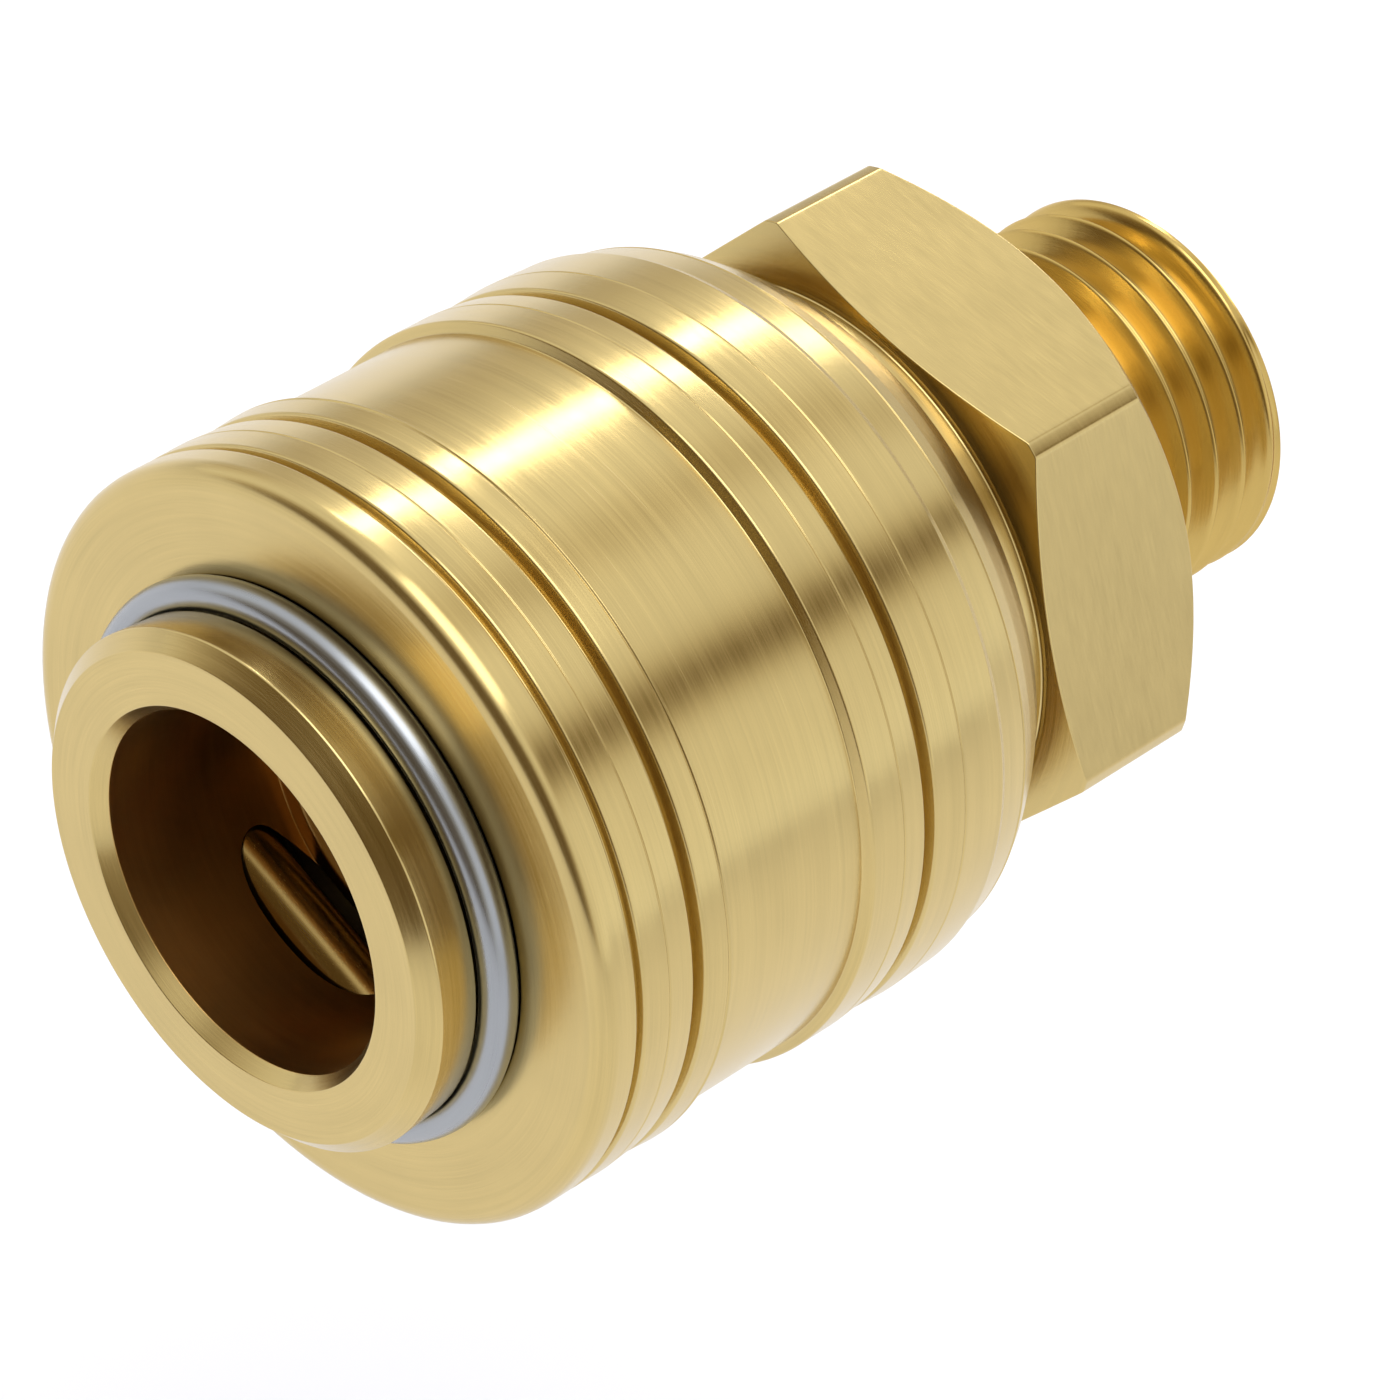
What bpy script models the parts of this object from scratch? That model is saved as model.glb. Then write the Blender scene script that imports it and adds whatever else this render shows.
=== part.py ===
"""A one-hand quick disconnect coupler with a G 1/4 male thread, built as separate working pieces.

The coupler's axis is the world X axis. The plug socket opens towards -X and the thread points to +X.
The origin is the centre of the thread's sealing shoulder, and one wrench flat faces +Z.
Outlines are lists of (station, radius) in millimetres. A station is the distance behind the mouth.
"""

import math

import bmesh
import bpy
from mathutils import Matrix, Vector

MM = 0.001
STEPS = 36  # facets round a large turned piece
SMALL_STEPS = 24  # facets round a small turned piece
WIRE_STEPS = 16  # lengths of wire in one turn of a spring
WIRE_SIDES = 6
SEAL_SIDES = 8

# Thread and hexagon, which set the scale of everything else.
THREAD_R = 6.579  # G 1/4 major radius
THREAD_PITCH = 1.337
THREAD_DEPTH = 0.856
THREAD_RELIEF = 0.9  # plain neck between the shoulder and the first turn
THREAD_ROWS = 28
CREST_SHARE = 0.16  # of half a pitch, flat at the crest, and again at the root
HEX_FRONT = 25.1
SHOULDER = 31.9  # station of the hexagon's rear face, the origin
THREAD_END = 41.0
HEX_ACROSS_FLATS = 20.6
HEX_TURNED_R = 11.75
HEX_FACE_R = 10.1
HEX_FRONT_SLOPE = math.tan(math.radians(22))  # rise of a chamfer per unit of radius
HEX_REAR_SLOPE = math.tan(math.radians(41))

# Barrel: the inner body that takes the plug.
PLUG_R = 6.05
TIP_R = 5.05  # bore for the plug's tip
COLLAR_R = 8.7
BARREL_R = 7.3
CHAMBER_R = 6.1
BARREL_END = 20.3
CLIP_STATION = 2.7  # centre of the retaining ring's wire
CLIP_R = 8.82
CLIP_WIRE_R = 0.6

# Sleeve.
SLEEVE_R = 12.75
WAIST_R = 12.41
NOSE_ROUND = 0.95
SLEEVE_FRONT = 3.2
SLEEVE_WALL_END = 4.3
SLEEVE_BORE_R = 10.2
SLEEVE_HOLE_R = 9.0
SLEEVE_END = 23.75
SLEEVE_END_R = 10.93
GROOVES = ((4.74, 0.30, 0.22), (7.20, 0.50, 0.40), (17.10, 0.50, 0.40))  # station, width, depth

# Locking pins and their slanted slots.
SLEEVE_TRAVEL = 1.5
PIN_LIFT = 1.13
PIN_R = 1.0
PIN_HALF_LENGTH = 3.8
PIN_STATION = 5.5
THRUST_FRONT = 6.7
THRUST_LENGTH = 2.0
PIN_RADIUS = 6.15  # distance of a locked pin's centre line from the axis
PIN_ANGLES = (70, 190, 310)  # from +Z towards -Y
SLOT_HALF_WIDTH = 1.15
SLOT_HALF_LENGTH = 4.1
SLOT_REACH = 5.0

# Adapter: hexagon, thread and the cup that holds the barrel.
SPIGOT_R = 9.9
SPIGOT_FRONT = 17.5
CUP_R = 7.6
CUP_FLOOR = 22.0
AIR_R = 4.0

# Springs: mean coil radius, wire radius, and clearance to what holds the ends.
SLEEVE_SPRING_R = 8.72
SLEEVE_SPRING_WIRE_R = 0.55
VALVE_SPRING_R = 4.75
VALVE_SPRING_WIRE_R = 0.40
SPRING_TURNS = 4.5
SPRING_END_GAP = 0.25

# Shut-off valve and seals.
SEAT_STATION = 13.1
VALVE_HEAD_REAR = 15.35
CROSS_HOLE_STATION = 11.6
CROSS_HOLE_R = 0.9
VALVE_SEAL_R = 4.95
VALVE_SEAL_WIRE_R = 0.62
JOINT_SEAL_R = 6.8
JOINT_SEAL_WIRE_R = 0.52

BRASS = (0.66, 0.51, 0.225)
BRASS_DARK = (0.60, 0.45, 0.19)
STEEL = (0.62, 0.63, 0.65)
SPRING_STEEL = (0.50, 0.51, 0.54)
RUBBER = (0.025, 0.025, 0.028)


def clear_scene():
    for obj in list(bpy.data.objects):
        bpy.data.objects.remove(obj, do_unlink=True)


def material(name, colour, roughness, metallic):
    made = bpy.data.materials.new(name)
    made.use_nodes = True
    shader = made.node_tree.nodes["Principled BSDF"]
    shader.inputs["Base Color"].default_value = (*colour, 1.0)
    shader.inputs["Roughness"].default_value = roughness
    shader.inputs["Metallic"].default_value = metallic
    return made


def point(station, radius, turn=0.0):
    """A point in metres. turn is in radians from +Z towards -Y."""
    x = (station - SHOULDER) * MM
    return Vector((x, -radius * math.sin(turn) * MM, radius * math.cos(turn) * MM))


def add_object(name, bm, finish, origin=(0.0, 0.0, 0.0)):
    """Makes the node, with its own origin, from a mesh given in world coordinates."""
    bmesh.ops.recalc_face_normals(bm, faces=bm.faces)
    bmesh.ops.translate(bm, verts=bm.verts, vec=-Vector(origin))
    mesh = bpy.data.meshes.new(name)
    bm.to_mesh(mesh)
    bm.free()
    mesh.shade_smooth()
    mesh.set_sharp_from_angle(angle=math.radians(30))
    mesh.materials.append(finish)
    obj = bpy.data.objects.new(name, mesh)
    obj.location = origin
    bpy.context.scene.collection.objects.link(obj)
    return obj


def turned_mesh(outline, steps):
    """Spins a closed outline round the X axis. Points with no radius become the ends of a solid core."""
    bm = bmesh.new()
    rim = [bm.verts.new(point(station, radius)) for station, radius in outline]
    pairs = zip(outline, rim, outline[1:] + outline[:1], rim[1:] + rim[:1])
    edges = [bm.edges.new((v, w)) for p, v, q, w in pairs if p[1] > 0 or q[1] > 0]
    bmesh.ops.spin(
        bm, geom=rim + edges, cent=(0, 0, 0), axis=(1, 0, 0), angle=math.tau, steps=steps, use_merge=True
    )
    bmesh.ops.remove_doubles(bm, verts=bm.verts, dist=0.001 * MM)
    return bm


def arc(centre, radius, start, end, count):
    """Points of (station, radius) on an arc. Angles are in degrees, from +station towards +radius."""
    found = []
    for i in range(count + 1):
        angle = math.radians(start + (end - start) * i / count)
        found.append((centre[0] + radius * math.cos(angle), centre[1] + radius * math.sin(angle)))
    return found


def tube_along(centres, frames, wire_r, sides, closed):
    """A round wire whose sections stand on the given (outward, sideways) frames."""
    bm = bmesh.new()
    rings = []
    for centre, (outward, sideways) in zip(centres, frames):
        ring = []
        for k in range(sides):
            angle = math.tau * k / sides
            offset = outward * math.cos(angle) + sideways * math.sin(angle)
            ring.append(bm.verts.new(centre + offset * wire_r * MM))
        rings.append(ring)
    for a, b in zip(rings, rings[1:] + (rings[:1] if closed else [])):
        for k in range(sides):
            bm.faces.new((a[k], a[(k + 1) % sides], b[(k + 1) % sides], b[k]))
    if not closed:
        bm.faces.new(rings[0])
        bm.faces.new(rings[-1])
    return bm


def radial(turn):
    return Vector((0.0, -math.sin(turn), math.cos(turn)))


def ring_of_wire(station, radius, wire_r, steps, sides, gap_degrees=0.0):
    """A closed ring, or one with a gap at the bottom."""
    closed = gap_degrees == 0.0
    half_gap = math.radians(gap_degrees / 2)
    span = math.tau - 2 * half_gap
    turns = [math.pi + half_gap + span * i / steps for i in range(steps if closed else steps + 1)]
    centres = [point(station, radius, turn) for turn in turns]
    frames = [(radial(turn), Vector((1.0, 0.0, 0.0))) for turn in turns]
    return tube_along(centres, frames, wire_r, sides, closed)


def compression_spring(start, end, radius, wire_r):
    """A helix with a flat-lying turn at each end."""
    first, last = start + wire_r, end - wire_r
    dead = 0.75  # closed turns at each end
    lift = 2.2 * wire_r * dead  # how far an end turn climbs
    count = round(SPRING_TURNS * WIRE_STEPS)
    centres, frames = [], []
    for i in range(count + 1):
        wound = SPRING_TURNS * i / count
        if wound < dead:
            station = first + lift * wound / dead
        elif wound > SPRING_TURNS - dead:
            station = last - lift * (SPRING_TURNS - wound) / dead
        else:
            share = (wound - dead) / (SPRING_TURNS - 2 * dead)
            station = first + lift + (last - first - 2 * lift) * share
        turn = math.tau * wound
        centres.append(point(station, radius, turn))
        frames.append((radial(turn), Vector((1.0, 0.0, 0.0))))
    return tube_along(centres, frames, wire_r, WIRE_SIDES, closed=False)


def add_boolean(obj, cutter, operation):
    cutter.hide_render = True
    cutter.display_type = "WIRE"
    modifier = obj.modifiers.new(cutter.name, "BOOLEAN")
    modifier.operation = operation
    modifier.solver = "EXACT"
    modifier.object = cutter


def slot_cutter(name, turn):
    """A slanted slot with a round inner end, where the locked pin sits."""
    slant = math.atan2(PIN_LIFT, SLEEVE_TRAVEL)
    centre = (PIN_STATION, PIN_RADIUS)
    start = math.degrees(slant) + 90
    outline = arc(centre, SLOT_HALF_WIDTH, start, start + 180, 8)
    for station, radius in (outline[-1], outline[0]):
        outline.append((station + SLOT_REACH * math.cos(slant), radius + SLOT_REACH * math.sin(slant)))
    bm = bmesh.new()
    side = Vector((0.0, -math.cos(turn), -math.sin(turn))) * SLOT_HALF_LENGTH * MM
    face = bm.faces.new([bm.verts.new(point(s, r, turn) - side) for s, r in outline])
    extruded = bmesh.ops.extrude_face_region(bm, geom=[face])
    moved = [item for item in extruded["geom"] if isinstance(item, bmesh.types.BMVert)]
    bmesh.ops.translate(bm, verts=moved, vec=side * 2)
    return add_object(name, bm, CUTTER)


def make_barrel():
    """The inner body: collar, retaining ring groove, plug bore, seal groove, valve seat and chamber."""
    clip_front, clip_rear = CLIP_STATION - 0.75, CLIP_STATION + 0.75
    outline = [
        (0.50, PLUG_R),
        (0.00, 6.40),
        (0.00, 8.15),
        (0.55, COLLAR_R),
        (clip_front, COLLAR_R - 0.12),
        (clip_front, 7.95),
        (clip_rear, 7.95),
        (clip_rear, COLLAR_R),
        (4.20, COLLAR_R),
        (4.20, BARREL_R),
        (BARREL_END - 0.4, BARREL_R),
        (BARREL_END, BARREL_R - 0.4),
        (BARREL_END, CHAMBER_R),
        (12.90, CHAMBER_R),
        (11.80, TIP_R),
        (10.60, TIP_R),
        (10.60, 6.30),
        (8.40, 6.30),
        (8.40, TIP_R),
        (7.35, TIP_R),
        (7.00, 5.40),
        (7.00, PLUG_R),
    ]
    barrel = add_object("barrel", turned_mesh(outline, STEPS), BRASS_SATIN)
    for number, angle in enumerate(PIN_ANGLES, 1):
        add_boolean(barrel, slot_cutter(f"slot_{number}", math.radians(angle)), "DIFFERENCE")


def grooved_outside():
    """The sleeve's outside from front to rear: rounded nose, grooved bands, stepped waist and tapered tail."""
    nose_r = SLEEVE_R - NOSE_ROUND
    nose = [(SLEEVE_FRONT, nose_r)] + arc((SLEEVE_FRONT + NOSE_ROUND, nose_r), NOSE_ROUND, 165, 90, 5)
    bands = []
    for station, width, depth in GROOVES:
        top = [(station - width / 2, SLEEVE_R), (station + width / 2, SLEEVE_R)]
        floor = [(station - width / 5, SLEEVE_R - depth), (station + width / 5, SLEEVE_R - depth)]
        bands.append([top[0], *floor, top[1]])
    waist = [(8.50, SLEEVE_R), (8.60, WAIST_R), (14.38, WAIST_R), (14.56, SLEEVE_R)]
    tail = [(20.30, SLEEVE_R), (20.50, SLEEVE_R - 0.18), (21.50, 12.40), (22.30, 12.00), (23.10, 11.45)]
    return nose + bands[0] + bands[1] + waist + bands[2] + tail + [(SLEEVE_END, SLEEVE_END_R)]


def make_sleeve():
    """The grip sleeve. Its tail tapers like the hexagon's chamfer, which it nearly meets when pulled."""
    inside = [
        (23.38, SLEEVE_BORE_R),
        (SLEEVE_WALL_END, SLEEVE_BORE_R),
        (SLEEVE_WALL_END, SLEEVE_HOLE_R),
        (3.90, SLEEVE_HOLE_R),
        (SLEEVE_FRONT, 9.70),
    ]
    add_object("sleeve", turned_mesh(grooved_outside() + inside, STEPS), BRASS_SATIN)


def thread_profile(phase):
    """How far the thread's surface lies under its crest, as a share of its depth, at a phase from 0 to 1."""
    height = abs(phase - 0.5) * 2
    return min(max((height - CREST_SHARE) / (1 - 2 * CREST_SHARE), 0.0), 1.0)


def cut_thread(bm, start, end):
    """Moves the rows between two stations onto a single-start right-hand helix that fades at both ends."""
    for vert in bm.verts:
        station = vert.co.x / MM + SHOULDER
        radius = math.hypot(vert.co.y, vert.co.z) / MM
        if not start < station < end or radius < THREAD_R - 0.1:
            continue
        turn = math.atan2(-vert.co.y, vert.co.z) / math.tau
        phase = ((station - start) / THREAD_PITCH + turn) % 1.0
        fade = min((station - start) / THREAD_PITCH, (end - station) / THREAD_PITCH * 2, 1.0)
        depth = THREAD_DEPTH * thread_profile(phase) * fade
        scale = (radius - depth) / radius
        vert.co.y *= scale
        vert.co.z *= scale


def make_adapter():
    """The rear body: barrel cup, hexagon and male thread round a straight air passage.

    The neck widens to the thread's radius at the shoulder, so that the sealing face is clear of the thread.
    """
    front_rise = (HEX_TURNED_R - HEX_FACE_R) * HEX_FRONT_SLOPE
    rear_rise = (HEX_TURNED_R - HEX_FACE_R) * HEX_REAR_SLOPE
    thread_start = SHOULDER + THREAD_RELIEF
    turns_end = THREAD_END - 0.7
    row = (turns_end - thread_start) / THREAD_ROWS
    thread = [(thread_start + row * i, THREAD_R) for i in range(THREAD_ROWS + 1)]
    neck_r = THREAD_R - THREAD_DEPTH - 0.05
    outline = [
        (SPIGOT_FRONT, CUP_R),
        (SPIGOT_FRONT, SPIGOT_R - 0.3),
        (SPIGOT_FRONT + 0.3, SPIGOT_R),
        (HEX_FRONT, SPIGOT_R),
        (HEX_FRONT, HEX_FACE_R),
        (HEX_FRONT + front_rise, HEX_TURNED_R),
        (SHOULDER - rear_rise, HEX_TURNED_R),
        (SHOULDER, HEX_FACE_R),
        (SHOULDER, THREAD_R + 0.15),
        (SHOULDER + 0.20, neck_r),
        (thread_start - 0.35, neck_r),
        *thread,
        (THREAD_END, THREAD_R - THREAD_DEPTH - 0.1),
        (THREAD_END, AIR_R + 0.4),
        (THREAD_END - 0.4, AIR_R),
        (CUP_FLOOR, AIR_R),
        (CUP_FLOOR, CUP_R),
    ]
    bm = turned_mesh(outline, STEPS)
    cut_thread(bm, thread_start, turns_end)
    adapter = add_object("adapter", bm, BRASS_SATIN)
    add_boolean(adapter, hex_blank(), "INTERSECT")


def hex_blank():
    """A six-sided bar, one flat up, that trims the turned adapter to its wrench flats."""
    bm = bmesh.new()
    length = (THREAD_END - SPIGOT_FRONT + 4.0) * MM
    corner = HEX_ACROSS_FLATS / math.sqrt(3) * MM
    along_x = Matrix.Rotation(math.pi / 2, 4, "Y")
    middle = Matrix.Translation(point((THREAD_END + SPIGOT_FRONT) / 2, 0.0))
    bmesh.ops.create_cone(
        bm, cap_ends=True, segments=6, radius1=corner, radius2=corner, depth=length, matrix=middle @ along_x
    )
    return add_object("hex_blank", bm, CUTTER)


def make_locking_pins():
    """Three loose rollers, each lying across the bore in its slanted slot, with its origin at its centre."""
    for number, angle in enumerate(PIN_ANGLES, 1):
        turn = math.radians(angle)
        centre = point(PIN_STATION, PIN_RADIUS, turn)
        across = Matrix.Rotation(turn, 4, "X") @ Matrix.Rotation(math.pi / 2, 4, "X")
        bm = bmesh.new()
        bmesh.ops.create_cone(
            bm,
            cap_ends=True,
            segments=16,
            radius1=PIN_R * MM,
            radius2=PIN_R * MM,
            depth=2 * PIN_HALF_LENGTH * MM,
            matrix=Matrix.Translation(centre) @ across,
        )
        add_object(f"locking_pin_{number}", bm, BRASS_PLAIN, centre)


def make_thrust_ring():
    """Keeps the pins forward under the sleeve spring, and moves with the sleeve when it is pulled."""
    rear = THRUST_FRONT + THRUST_LENGTH
    outline = [
        (THRUST_FRONT, CUP_R),
        (THRUST_FRONT, SPIGOT_R - 0.3),
        (THRUST_FRONT + 0.3, SPIGOT_R),
        (rear, SPIGOT_R),
        (rear, CUP_R),
    ]
    add_object("thrust_ring", turned_mesh(outline, STEPS), STEEL_POLISHED)


def make_springs():
    front, rear = THRUST_FRONT + THRUST_LENGTH + SPRING_END_GAP, SPIGOT_FRONT - SPRING_END_GAP
    outer = compression_spring(front, rear, SLEEVE_SPRING_R, SLEEVE_SPRING_WIRE_R)
    add_object("sleeve_spring", outer, STEEL_SPRING)
    front, rear = VALVE_HEAD_REAR + SPRING_END_GAP, CUP_FLOOR - SPRING_END_GAP
    inner = compression_spring(front, rear, VALVE_SPRING_R, VALVE_SPRING_WIRE_R)
    add_object("valve_spring", inner, STEEL_SPRING)


def make_retaining_ring():
    ring = ring_of_wire(CLIP_STATION, CLIP_R, CLIP_WIRE_R, 40, 10, gap_degrees=14)
    add_object("retaining_ring", ring, STEEL_POLISHED)


def make_plug_seal():
    """Rubber ring that grips the plug's tip, with a lead-in at each edge."""
    outline = [(8.65, 6.0), (10.35, 6.0), (10.35, 5.0), (10.10, 4.75), (8.90, 4.75), (8.65, 5.0)]
    add_object("plug_seal", turned_mesh(outline, SMALL_STEPS), RUBBER_BLACK)


def make_valve():
    """The shut-off poppet, hollow at the nose, where four cross holes let the air through, and its seal."""
    outline = [
        (13.40, 0.0),
        (13.40, 2.70),
        (8.90, 2.70),
        (8.90, 3.70),
        (9.20, 4.00),
        (14.05, 4.00),
        (14.05, 5.70),
        (VALVE_HEAD_REAR - 0.25, 5.70),
        (VALVE_HEAD_REAR, 5.45),
        (VALVE_HEAD_REAR, 3.90),
        (17.20, 3.90),
        (17.50, 3.60),
        (17.50, 0.0),
    ]
    poppet = add_object("valve_poppet", turned_mesh(outline, SMALL_STEPS), BRASS_PLAIN)
    for number, turn in enumerate((math.radians(45), math.radians(135)), 1):
        bm = bmesh.new()
        bmesh.ops.create_cone(
            bm,
            cap_ends=True,
            segments=12,
            radius1=CROSS_HOLE_R * MM,
            radius2=CROSS_HOLE_R * MM,
            depth=2 * PLUG_R * MM,
            matrix=Matrix.Translation(point(CROSS_HOLE_STATION, 0.0)) @ Matrix.Rotation(turn, 4, "X"),
        )
        add_boolean(poppet, add_object(f"cross_hole_{number}", bm, CUTTER), "DIFFERENCE")
    seal = ring_of_wire(SEAT_STATION, VALVE_SEAL_R, VALVE_SEAL_WIRE_R, SMALL_STEPS, SEAL_SIDES)
    add_object("valve_seal", seal, RUBBER_BLACK)


def make_joint_seal():
    """Closes the screwed joint between barrel and adapter."""
    station = (BARREL_END + CUP_FLOOR) / 2
    seal = ring_of_wire(station, JOINT_SEAL_R, JOINT_SEAL_WIRE_R, SMALL_STEPS, SEAL_SIDES)
    add_object("joint_seal", seal, RUBBER_BLACK)


clear_scene()
BRASS_SATIN = material("brass_satin", BRASS, 0.32, 1.0)
BRASS_PLAIN = material("brass_plain", BRASS_DARK, 0.38, 1.0)
STEEL_POLISHED = material("steel_polished", STEEL, 0.22, 1.0)
STEEL_SPRING = material("steel_spring", SPRING_STEEL, 0.35, 1.0)
RUBBER_BLACK = material("rubber_black", RUBBER, 0.6, 0.0)
CUTTER = material("cutter", (0.5, 0.5, 0.5), 0.5, 0.0)

make_barrel()
make_sleeve()
make_adapter()
make_locking_pins()
make_thrust_ring()
make_springs()
make_retaining_ring()
make_plug_seal()
make_valve()
make_joint_seal()
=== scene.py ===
"""Finished surfaces, studio light and camera for a one-hand quick disconnect coupler with a G 1/4 thread.

The coupler's axis is the X axis. Outlines are (station, radius, fillet) in millimetres, and a station is the
distance behind the mouth, which opens towards -X. A turn is an angle from +Z towards -Y.
"""

import math

import bmesh
import bpy
from mathutils import Matrix, Quaternion, Vector


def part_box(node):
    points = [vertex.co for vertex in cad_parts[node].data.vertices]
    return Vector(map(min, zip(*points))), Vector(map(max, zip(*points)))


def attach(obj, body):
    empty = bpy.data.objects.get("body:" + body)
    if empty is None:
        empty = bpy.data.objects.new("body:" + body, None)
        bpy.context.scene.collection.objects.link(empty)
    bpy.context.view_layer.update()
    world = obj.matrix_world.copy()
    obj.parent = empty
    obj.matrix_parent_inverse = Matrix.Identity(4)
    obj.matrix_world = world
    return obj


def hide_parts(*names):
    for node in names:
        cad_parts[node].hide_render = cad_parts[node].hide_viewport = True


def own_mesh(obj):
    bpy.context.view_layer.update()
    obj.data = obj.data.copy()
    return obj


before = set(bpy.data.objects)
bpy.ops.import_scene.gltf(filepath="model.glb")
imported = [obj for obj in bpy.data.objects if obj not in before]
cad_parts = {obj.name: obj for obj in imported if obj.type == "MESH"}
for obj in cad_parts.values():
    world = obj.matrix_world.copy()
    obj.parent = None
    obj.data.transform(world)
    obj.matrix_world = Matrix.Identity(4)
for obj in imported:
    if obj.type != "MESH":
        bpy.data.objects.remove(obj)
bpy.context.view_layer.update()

MM = 0.001
MERGE = 1e-7  # points closer than this, in metres, become one
COLUMNS = 288  # round a large turned piece
SMALL_COLUMNS = 144
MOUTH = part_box("barrel")[0].x
PLUG_AXIS = Vector((1.0, 0.0, 0.0))


def station_of(x):
    return (x - MOUTH) / MM


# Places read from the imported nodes.
SLEEVE_FRONT = station_of(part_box("sleeve")[0].x)
SLEEVE_END = station_of(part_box("sleeve")[1].x)
SLEEVE_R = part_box("sleeve")[1].z / MM
BARREL_END = station_of(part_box("barrel")[1].x)
SPIGOT_FRONT = station_of(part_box("adapter")[0].x)
THREAD_END = station_of(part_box("adapter")[1].x)
SHOULDER = station_of(0.0)
FLAT_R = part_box("adapter")[1].z / MM

# Camera: it looks down on the mouth from the front left.
LENS = 167.52
SENSOR = 36.0
CAMERA_AZIMUTH = 56.32  # degrees from +Y towards +X
CAMERA_DROP = 46.30  # degrees below the horizon
CAMERA_ROLL = 17.08
CAMERA_DISTANCE = 205.42
AIM = (18.543, -1.681, -0.891)  # station, and offsets along Y and Z

FLOOR_DROP = 70.0  # floor below the axis
FLOOR_HALF = 3000.0
PIN_ANGLES = (70, 190, 310)  # turns of the locking pins, in degrees
PULL = 1.5  # travel of the sleeve
PIN_RISE = 1.13  # how far the pins move outwards in their slots


def point(station, radius, turn=0.0):
    x = MOUTH + station * MM
    return Vector((x, -radius * math.sin(turn) * MM, radius * math.cos(turn) * MM))


def radial(turn):
    return Vector((0.0, -math.sin(turn), math.cos(turn)))


def onward(turn):
    """The direction of growing turn, at a turn."""
    return Vector((0.0, -math.cos(turn), -math.sin(turn)))


# ---------------------------------------------------------------- outlines and meshes


def corner_points(before, corner, after, steps):
    """An arc that replaces one corner, with a supporting point on each side of it."""
    here = Vector(corner[:2])
    to_before, to_after = Vector(before[:2]) - here, Vector(after[:2]) - here
    room = 0.45 * min(to_before.length, to_after.length)  # neighbouring fillets never meet
    to_before.normalize()
    to_after.normalize()
    half = math.acos(max(-1.0, min(1.0, to_before.dot(to_after)))) / 2
    if corner[2] <= 0 or half > math.radians(89.5):
        return [here] * (steps + 3)
    reach = min(corner[2] / math.tan(half), room)
    radius = reach * math.tan(half)
    centre = here + (to_before + to_after).normalized() * (radius / math.sin(half))
    start, end = here + to_before * reach - centre, here + to_after * reach - centre
    span = start.angle_signed(end)
    arc = []
    for i in range(steps + 1):
        angle = -span * i / steps
        cos, sin = math.cos(angle), math.sin(angle)
        arc.append(centre + Vector((start.x * cos - start.y * sin, start.x * sin + start.y * cos)))
    return [here + to_before * reach * 1.1, *arc, here + to_after * reach * 1.1]


def rounded(corners, steps=5, closed=True):
    """The outline with every corner rounded. The number of points depends only on the number of corners."""
    found = []
    for i, corner in enumerate(corners):
        if not closed and i in (0, len(corners) - 1):
            found.append(Vector(corner[:2]))
            continue
        before, after = corners[i - 1], corners[(i + 1) % len(corners)]
        found += corner_points(before, corner, after, steps)
    return found


def stitch(bm, columns, closed):
    """Faces between neighbouring columns of points, which all have the same number of points."""
    made = [[bm.verts.new(co) for co in column] for column in columns]
    for a, b in zip(made, made[1:] + made[:1]):
        for k in range(len(a) if closed else len(a) - 1):
            n = (k + 1) % len(a)
            bm.faces.new((a[k], b[k], b[n], a[n]))


def clean(bm):
    bmesh.ops.remove_doubles(bm, verts=bm.verts, dist=MERGE)
    bmesh.ops.dissolve_degenerate(bm, edges=bm.edges, dist=MERGE)
    bmesh.ops.recalc_face_normals(bm, faces=bm.faces)


def finished_object(name, bm, *finishes):
    clean(bm)
    mesh = bpy.data.meshes.new(name)
    bm.to_mesh(mesh)
    bm.free()
    mesh.shade_smooth()
    mesh.set_sharp_from_angle(angle=math.radians(50))
    for finish in finishes:
        mesh.materials.append(finish)
    obj = bpy.data.objects.new(name, mesh)
    bpy.context.scene.collection.objects.link(obj)
    return obj


def turned(outline, columns=COLUMNS, closed=True):
    """Spins an outline of (station, radius) points round the axis."""
    bm = bmesh.new()
    turns = [math.tau * i / columns for i in range(columns)]
    stitch(bm, [[point(s, r, turn) for s, r in outline] for turn in turns], closed)
    return bm


def wire(centres, frames, wire_r, sides):
    """A round wire with domed ends along a line of centres."""
    rings = [(centre, outward, sideways, wire_r) for centre, (outward, sideways) in zip(centres, frames)]
    rings = dome(rings) + rings + dome(rings[::-1])[::-1]
    bm = bmesh.new()
    angles = [math.tau * k / sides for k in range(sides)]
    made = []
    for centre, outward, sideways, r in rings:
        circle = [centre + (outward * math.cos(a) + sideways * math.sin(a)) * r * MM for a in angles]
        made.append([bm.verts.new(co) for co in circle])
    for a, b in zip(made, made[1:]):
        for k in range(sides):
            n = (k + 1) % sides
            bm.faces.new((a[k], a[n], b[n], b[k]))
    bm.faces.new(made[0])
    bm.faces.new(made[-1])
    return bm


def dome(rings, steps=4, height=0.35, face=0.55):
    """Rings that close one end of a wire: a low dome with a flat face, both as parts of the wire's radius."""
    centre, outward, sideways, wire_r = rings[0]
    along = (centre - rings[1][0]).normalized()
    found = []
    for i in range(steps, 0, -1):
        angle = math.pi / 2 * i / steps
        shrink = wire_r * (face + (1.0 - face) * math.cos(angle))
        found.append((centre + along * height * wire_r * math.sin(angle) * MM, outward, sideways, shrink))
    return found


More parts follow.
